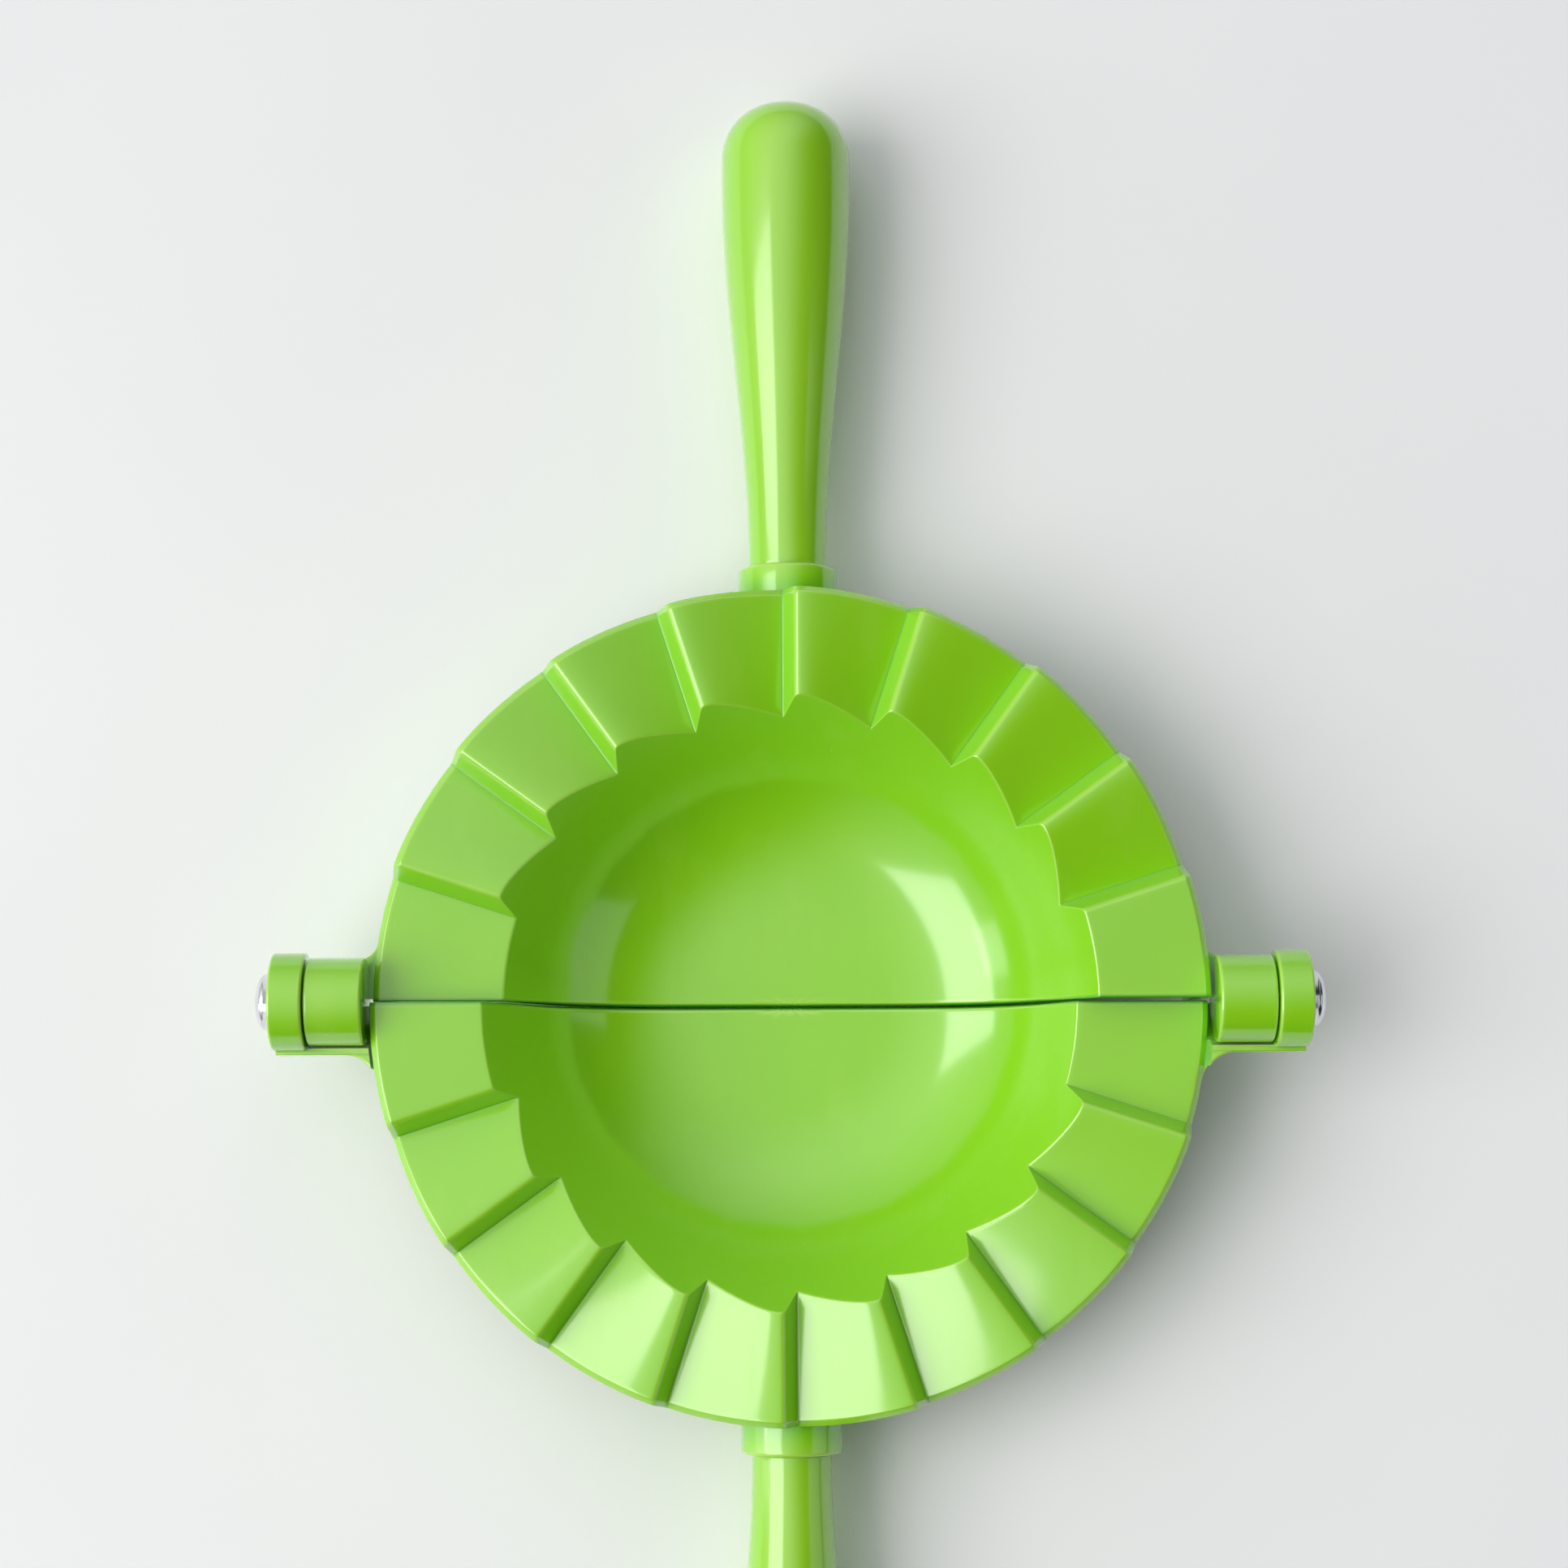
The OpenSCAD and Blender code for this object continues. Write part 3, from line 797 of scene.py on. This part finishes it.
def bump(tree, height, distance, strength, normal=None):
    """Normal of a surface raised by a height, over that of an earlier bump."""
    inputs = {"Height": height, "Distance": distance, "Strength": strength}
    if normal is not None:
        inputs["Normal"] = normal
    return add(tree, "ShaderNodeBump", inputs).outputs[0]


def stored(tree, name):
    """A value that the mesh stores on its points."""
    return add(tree, "ShaderNodeAttribute", attribute_name=name).outputs["Fac"]


def show(tree, inputs):
    """Ends a material in a principled shader with these inputs."""
    shader = add(tree, "ShaderNodeBsdfPrincipled", inputs)
    add(tree, "ShaderNodeOutputMaterial", {0: shader.outputs[0]})


def plastic_colour(tree, coords, flow, body, deep, steep_shade):
    """Green with a slow change of tone and random paler worn patches, painted shade on steep faces,
    painted highlight on outward edges, and painted shade in the roots and along the seam."""
    tone = noise(tree, coords, scale=38, detail=2)
    colour = mix(tree, remap(tree, tone, 0.35, 0.65), deep, body)
    normal = add(tree, "ShaderNodeTexCoord").outputs["Normal"]
    level = add(tree, "ShaderNodeSeparateXYZ", {0: normal}).outputs["Z"]
    # Steep faces turn to a deeper green while level faces stay paler: painted shade from how the light
    # falls
    colour = mix(tree, remap(tree, level, 0.5, 0.95), steep_shade, colour)
    colour = mix(tree, remap(tree, flow, 0.55, 0.8, 0, 0.12), colour, WORN_AND_HIGHLIGHT_GREEN)
    # Outward edges turn paler: painted highlight
    edge_highlight = maths(tree, "MULTIPLY", stored(tree, "edge"), remap(tree, flow, 0.2, 0.8, 0.3, 0.6))
    colour = mix(tree, edge_highlight, colour, WORN_AND_HIGHLIGHT_GREEN)
    # Inward edges and roots darken: painted shade
    colour = mix(tree, remap(tree, stored(tree, "root"), 0, 1, 0, 0.6), colour, CREASE_SHADE_GREEN)
    # The groove along the parting darkens: painted shade
    return mix(tree, remap(tree, stored(tree, "seam"), 0.2, 0.75), colour, SEAM_SHADE_GREEN)


def plastic(name, body, deep, steep_shade, seed):
    """Glossy moulded plastic with soft orange peel, specks and fine hairlines."""
    mat, tree = nodes_of(name)
    where = add(tree, "ShaderNodeTexCoord").outputs["Object"]
    coords = add(tree, "ShaderNodeMapping", {"Vector": where, "Location": (seed, seed * 0.7, 0)}).outputs[0]
    flow = noise(tree, coords, scale=160, detail=3, rough=0.6, stretch=(1, 0.25, 1))
    hair = noise(tree, coords, scale=900, detail=2, stretch=(1, 0.06, 1))
    peel = noise(tree, coords, scale=240, detail=1)
    specks = noise(tree, coords, scale=2600, detail=2)
    rough = remap(tree, flow, 0.3, 0.7, 0.15, 0.22)
    rough = maths(tree, "ADD", rough, remap(tree, hair, 0.62, 0.75, 0, 0.08))
    normal = bump(tree, peel, distance=0.03 * MM, strength=0.22)
    normal = bump(tree, hair, distance=0.004 * MM, strength=0.3, normal=normal)
    normal = bump(tree, specks, distance=0.002 * MM, strength=0.25, normal=normal)
    show(tree, {
        "Base Color": plastic_colour(tree, coords, flow, body, deep, steep_shade),
        "Roughness": rough,
        "Normal": normal,
        "IOR": 1.55,
        "Specular IOR Level": 0.7,
        "Subsurface Weight": 0.12,
        "Subsurface Radius": (0.6, 1.0, 0.2),
        "Subsurface Scale": 1.6 * MM,
        "Coat Weight": 1.0,
        "Coat Roughness": 0.1,
    })
    return mat


def plated_steel(name):
    """Bright plated steel with faint turning lines."""
    mat, tree = nodes_of(name)
    coords = add(tree, "ShaderNodeTexCoord").outputs["Object"]
    tone = noise(tree, coords, scale=700, detail=3)
    waves = {"Vector": coords, "Scale": 900, "Distortion": 1.5}
    ring = add(tree, "ShaderNodeTexWave", waves, wave_type="RINGS", rings_direction="X")
    show(tree, {
        "Base Color": mix(tree, remap(tree, tone, 0.4, 0.7), STEEL_DULL, STEEL_BRIGHT),
        "Metallic": 1.0,
        "Roughness": remap(tree, tone, 0.3, 0.7, 0.12, 0.24),
        "Normal": bump(tree, ring.outputs["Fac"], distance=0.003 * MM, strength=0.3),
    })
    return mat


def pale_floor(name):
    """Plain pale worktop."""
    mat, tree = nodes_of(name)
    coords = add(tree, "ShaderNodeTexCoord").outputs["Object"]
    tone = noise(tree, coords, scale=9, detail=4, rough=0.55)
    colour = mix(tree, remap(tree, tone, 0.35, 0.65), FLOOR_DULL, FLOOR_PALE)
    show(tree, {"Base Color": colour, "Roughness": 0.45})
    return mat


# Finishing of the pieces

def mark_edges(obj):
    """Stores on each point how sharply the surface turns outward there, or inward."""
    mesh = bmesh.new()
    mesh.from_mesh(obj.data)
    turn = {"edge": np.zeros(len(mesh.verts)), "root": np.zeros(len(mesh.verts))}
    for edge in mesh.edges:
        if len(edge.link_faces) == 2:
            angle = math.degrees(edge.calc_face_angle_signed(0))
            values = turn["edge" if angle > 0 else "root"]
            for vert in edge.verts:
                # Sharper turns give a stronger painted highlight outward or painted shade inward
                turn_share = min((abs(angle) - EDGE_PAINT_FROM) / EDGE_PAINT_SPAN, 1)
                values[vert.index] = max(values[vert.index], turn_share)
    mesh.free()
    for name, values in turn.items():
        layer = obj.data.attributes.new(name, "FLOAT", "POINT")
        layer.data.foreach_set("value", values)


def mark_seam(obj):
    """Stores on each point how deep it lies in the groove along the parting of the two halves."""
    points = np.array([v.co for v in obj.data.vertices])
    reach = PARTING_GAP / 2 + GROOVE_W
    deep = np.clip((reach - np.abs(points[:, 1])) / (reach - PARTING_GAP / 4), 0, 1)
    deep[np.abs(points[:, 0]) > RIM_R + TUCK] = 0
    layer = obj.data.attributes.new("seam", "FLOAT", "POINT")
    layer.data.foreach_set("value", deep)


def frame_flats(obj):
    """Marks the borders of broad flat faces as sharp, so that roundings beside them don't bend
    their shading."""
    mesh = bmesh.new()
    mesh.from_mesh(obj.data)
    for edge in mesh.edges:
        if len(edge.link_faces) == 2 and edge.calc_face_angle(0) > FLAT_ANGLE:
            if max(f.calc_area() for f in edge.link_faces) > FLAT_AREA:
                edge.smooth = False
    mesh.to_mesh(obj.data)
    mesh.free()


def finish_piece(obj, material, body, slot, *nodes):
    """Shades a piece, ties it to its body, and hides the CAD nodes that it replaces."""
    mark_edges(obj)
    mark_seam(obj)
    obj.data.materials.clear()
    obj.data.materials.append(material)
    obj.data.shade_smooth()
    obj.data.set_sharp_from_angle(angle=SHARP_ANGLE)
    frame_flats(obj)
    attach(obj, body)
    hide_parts(*nodes)


def place(obj, half_turn):
    """Moves a piece from the hinge line's level and +Y side into the frame."""
    turn = Matrix.Rotation(math.pi if half_turn else 0, 4, "Z")
    obj.data.transform(Matrix.Translation((0, 0, HINGE_Z)) @ turn)
    obj.data.update()
    return obj


def build_press():
    """The two halves, their grips and the two screws."""
    rim = plastic("rim_plastic", RIM_GREEN, RIM_DEEP, RIM_STEEP_SHADE, seed=0.31)
    handle = plastic("grip_plastic", GRIP_GREEN, GRIP_DEEP, GRIP_STEEP_SHADE, seed=1.73)
    steel = plated_steel("screw_steel")
    upper = place(press_half("press_upper_half", inner_knuckle), False)
    finish_piece(upper, rim, "upper_body", "rim", "upper_half")
    lower = place(press_half("press_lower_half", arm), True)
    finish_piece(lower, rim, "lower_body", "rim", "lower_half")
    finish_piece(place(grip("press_upper_grip"), False), handle, "upper_body", "grip", "upper_grip")
    finish_piece(place(grip("press_lower_grip"), True), handle, "lower_body", "grip", "lower_grip")
    right = hinge_screw("press_right_screw")
    left = mirrored(right, "press_left_screw")
    finish_piece(place(right, False), steel, "upper_body", "screw", "right_hinge_screw")
    finish_piece(place(left, False), steel, "upper_body", "screw", "left_hinge_screw")


# Stage, light and camera

def build_floor():
    """Worktop that runs past the picture on all sides."""
    half = FLOOR_HALF
    corners = [(-half, -half, 0), (half, -half, 0), (half, half, 0), (-half, half, 0)]
    floor = mesh_object("floor", corners, [[0, 1, 2, 3]])
    floor.data.materials.append(pale_floor("floor_pale"))


def area_light(name, azimuth, polar, width, height, watts, colour):
    """A soft light that faces the press, at an azimuth from +X and an angle from overhead."""
    a, p = math.radians(azimuth), math.radians(polar)
    way = Vector((math.cos(a) * math.sin(p), math.sin(a) * math.sin(p), math.cos(p)))
    data = bpy.data.lights.new(name, "AREA")
    data.shape, data.size, data.size_y = "RECTANGLE", width, height
    data.energy, data.color = watts, colour
    obj = bpy.data.objects.new(name, data)
    obj.location = way * LIGHT_DISTANCE + Vector((0, 0, HINGE_Z))
    obj.rotation_euler = (-way).to_track_quat("-Z", "Y").to_euler()
    bpy.context.scene.collection.objects.link(obj)


def build_world():
    """Studio surround that is brightest overhead and to the upper left, and dim on the far side."""
    world = bpy.data.worlds.new("studio")
    world.use_nodes = True
    tree = world.node_tree
    back = tree.nodes["Background"]
    back.inputs["Color"].default_value = SURROUND_WHITE
    way = add(tree, "ShaderNodeTexCoord").outputs["Generated"]
    toward = add(tree, "ShaderNodeVectorMath", {0: way, 1: BRIGHT_SIDE}, operation="DOT_PRODUCT")
    fade = add(tree, "ShaderNodeMapRange", {
        "Value": toward.outputs["Value"],
        "From Min": -0.5,
        "From Max": 0.32,
        "To Min": 0.02,
        "To Max": 1.08,
    }, interpolation_type="SMOOTHSTEP")
    height = add(tree, "ShaderNodeSeparateXYZ", {0: way}).outputs["Z"]
    level = remap(tree, height, 0.05, 0.8, 0.35, 1.0)
    tree.links.new(maths(tree, "MULTIPLY", fade.outputs["Result"], level), back.inputs["Strength"])
    bpy.context.scene.world = world


def build_lights():
    """One large softbox on the left with a narrow one at its foot, and a weak fill on the right."""
    build_world()
    area_light("softbox", azimuth=192, polar=45, width=1.15, height=1.0, watts=10.9, colour=WARM_WHITE)
    area_light("softbox_foot", azimuth=192, polar=75, width=0.35, height=0.8, watts=1.4, colour=WARM_WHITE)
    area_light("far_fill", azimuth=350, polar=66, width=0.8, height=0.95, watts=1.4, colour=COOL_WHITE)


def build_camera():
    """The photograph's viewing angle: nearly overhead, leaning a little toward the upper grip."""
    data = bpy.data.cameras.new("camera")
    data.sensor_width = SENSOR_MM
    data.lens = FOCAL_PX / FRAME_PX * SENSOR_MM
    data.shift_x, data.shift_y = SHIFT_X_PX / FRAME_PX, SHIFT_Y_PX / FRAME_PX
    data.clip_start, data.clip_end = 0.01, 10
    cam = bpy.data.objects.new("camera", data)
    cam.location = CAMERA_PLACE
    turn = Matrix()
    for angle, axis in zip(CAMERA_TURNS, "XYZ"):
        turn = turn @ Matrix.Rotation(math.radians(angle), 4, axis)
    cam.rotation_euler = turn.to_euler()
    bpy.context.scene.collection.objects.link(cam)
    bpy.context.scene.camera = cam


build_camera()
build_press()
build_floor()
build_lights()
bpy.context.scene.view_settings.view_transform = "Standard"
